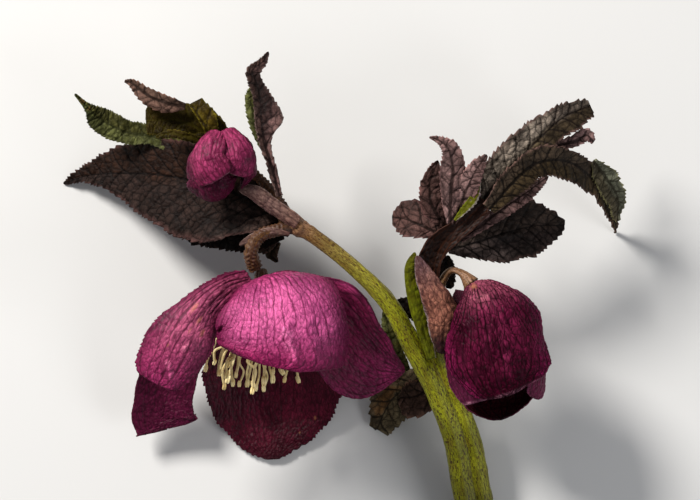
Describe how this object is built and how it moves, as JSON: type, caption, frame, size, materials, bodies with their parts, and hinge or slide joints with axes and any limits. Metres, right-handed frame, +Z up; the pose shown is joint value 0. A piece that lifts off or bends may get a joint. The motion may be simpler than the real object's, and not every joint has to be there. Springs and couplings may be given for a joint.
{
  "type": "cut hellebore",
  "caption": "Cut hellebore lying down: forked stem with an open purple-pink flower, a bud, a half-open side flower and dark toothed bracts.",
  "frame": {"origin": "middle of the plant's box on the surface it lies on", "axes": "+Z up from the surface it lies on, +Y towards the upper bracts, the cut stem end towards -Y, the side flower towards +X"},
  "size_m": [0.1436, 0.1322, 0.0517],
  "materials": {
    "stem": "satin yellow-green skin with reddish-brown streaks, browner towards the flowers",
    "sepal": "soft sheen, pink to dark magenta with darker radiating veins",
    "bud_sepal": "soft sheen, wrinkled magenta pink",
    "leaf": "dark brown-purple and olive, net-veined, toothed margin",
    "receptacle": "matt brown",
    "flower_centre": "matt cream-yellow anthers and filaments"
  },
  "bodies": {
    "root": {"main_stem": "stem", "open_receptacle": "receptacle", "side_receptacle": "receptacle", "open_flower_centre": "flower_centre", "side_flower_centre": "flower_centre", "open_sepal_front": "sepal", "open_sepal_left": "sepal", "open_sepal_lower_left": "sepal", "open_sepal_back": "sepal", "open_sepal_right": "sepal", "bud_sepal_upper_left": "bud_sepal", "bud_sepal_upper_right": "bud_sepal", "bud_sepal_lower": "bud_sepal", "bud_sepal_right": "bud_sepal", "bud_sepal_left": "bud_sepal", "side_sepal_front": "sepal", "side_sepal_left": "sepal", "side_sepal_back": "sepal", "side_sepal_right": "sepal", "left_bract_large": "leaf", "left_bract_lower_lobe": "leaf", "left_bract_green_lobe": "leaf", "left_bract_olive_lobe": "leaf", "left_bract_olive_flap": "leaf", "left_bract_olive_tip": "leaf", "left_bract_strip_lobe": "leaf", "twisted_bract": "leaf", "twisted_bract_back": "leaf", "left_sheath": "leaf", "left_sheath_lip": "leaf", "left_small_leaf": "leaf", "left_small_leaf_tip": "leaf", "right_sheath": "leaf", "right_sheath_back": "leaf", "right_petiole": "leaf", "right_lobe_upper": "leaf", "right_lobe_arching": "leaf", "right_lobe_flap": "leaf", "right_curled_scrap": "leaf", "right_lobe_lower": "leaf", "right_strip": "leaf", "right_lobe_round": "leaf", "right_lobe_inner": "leaf", "right_lobe_tall": "leaf", "right_lobe_third": "leaf", "right_green_margin": "leaf", "right_dark_lobe": "leaf", "rear_lobe_lower": "leaf", "rear_lobe_brown": "leaf", "rear_lobe_green": "leaf", "rear_lobe_dark": "leaf"}
  },
  "joints": []
}
